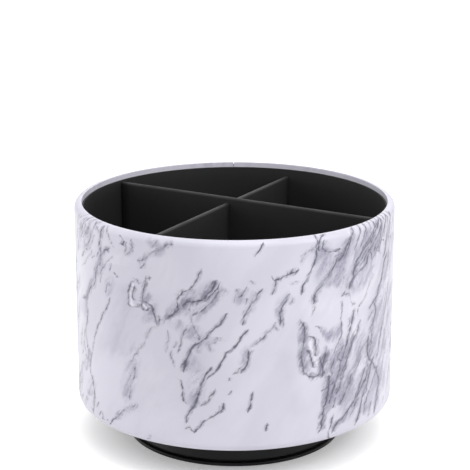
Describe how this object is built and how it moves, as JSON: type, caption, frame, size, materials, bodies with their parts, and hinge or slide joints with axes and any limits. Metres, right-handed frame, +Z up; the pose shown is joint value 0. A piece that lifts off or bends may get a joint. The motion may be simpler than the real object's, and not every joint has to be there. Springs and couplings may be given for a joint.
{
  "type": "rotating pen holder",
  "caption": "Round desk pen holder wrapped in marble-print leather, with crossed black dividers, turning on a ball-bearing base.",
  "frame": {"origin": "on the turning axis, at the desk surface that the rubber feet stand on", "axes": "+Z up along the turning axis, +X along the main divider"},
  "size_m": [0.184, 0.184, 0.14],
  "materials": {
    "marble_leather": "satin, grey marble print",
    "wall_board": "raw grey-brown board",
    "floor_board": "raw fibreboard",
    "divider_board": "raw grey-brown board",
    "divider_cover": "matte black",
    "black_lining": "matte black",
    "bottom_cover": "matte black felt",
    "base_plastic": "satin black moulding",
    "turntable_plastic": "black moulding",
    "cage_nylon": "natural nylon",
    "washer_plastic": "white acetal",
    "race_steel": "zinc-plated stamping",
    "ball_steel": "polished",
    "pin_steel": "turned steel",
    "spring_steel": "blued spring steel",
    "zinc_screws": "zinc plate",
    "foot_rubber": "matte black"
  },
  "bodies": {
    "base": {"base_dish": "base_plastic", "turntable_lower_plate": "race_steel", "lower_plate_screws": "zinc_screws", "pivot_pin": "pin_steel", "thrust_washer": "washer_plastic", "lock_washer": "pin_steel", "push_nut": "spring_steel", "rubber_foot_1": "foot_rubber", "rubber_foot_2": "foot_rubber", "rubber_foot_3": "foot_rubber", "rubber_foot_4": "foot_rubber"},
    "bearing": {"ball_cage": "cage_nylon", "bearing_ball_01": "ball_steel", "bearing_ball_02": "ball_steel", "bearing_ball_03": "ball_steel", "bearing_ball_04": "ball_steel", "bearing_ball_05": "ball_steel", "bearing_ball_06": "ball_steel", "bearing_ball_07": "ball_steel", "bearing_ball_08": "ball_steel", "bearing_ball_09": "ball_steel", "bearing_ball_10": "ball_steel", "bearing_ball_11": "ball_steel", "bearing_ball_12": "ball_steel"},
    "barrel": {"leather_wrap": "marble_leather", "barrel_wall": "wall_board", "wall_lining": "black_lining", "floor_board": "floor_board", "floor_lining": "black_lining", "main_divider_board": "divider_board", "main_divider_cover": "divider_cover", "cross_divider_board": "divider_board", "cross_divider_cover": "divider_cover", "bottom_cover": "bottom_cover", "turntable_top_plate": "turntable_plastic", "top_plate_screws": "zinc_screws"}
  },
  "joints": [
    {"name": "barrel_spin", "type": "hinge", "parent": "base", "child": "barrel", "pos_m": [0, 0, 0.0174], "axis": [0, 0, 1], "continuous": true},
    {"name": "bearing_roll", "type": "hinge", "parent": "base", "child": "bearing", "pos_m": [0, 0, 0.0174], "axis": [0, 0, 1], "continuous": true}
  ],
  "couplings": [
    {"joint": "bearing_roll", "follows": "barrel_spin", "ratio": 0.5}
  ]
}
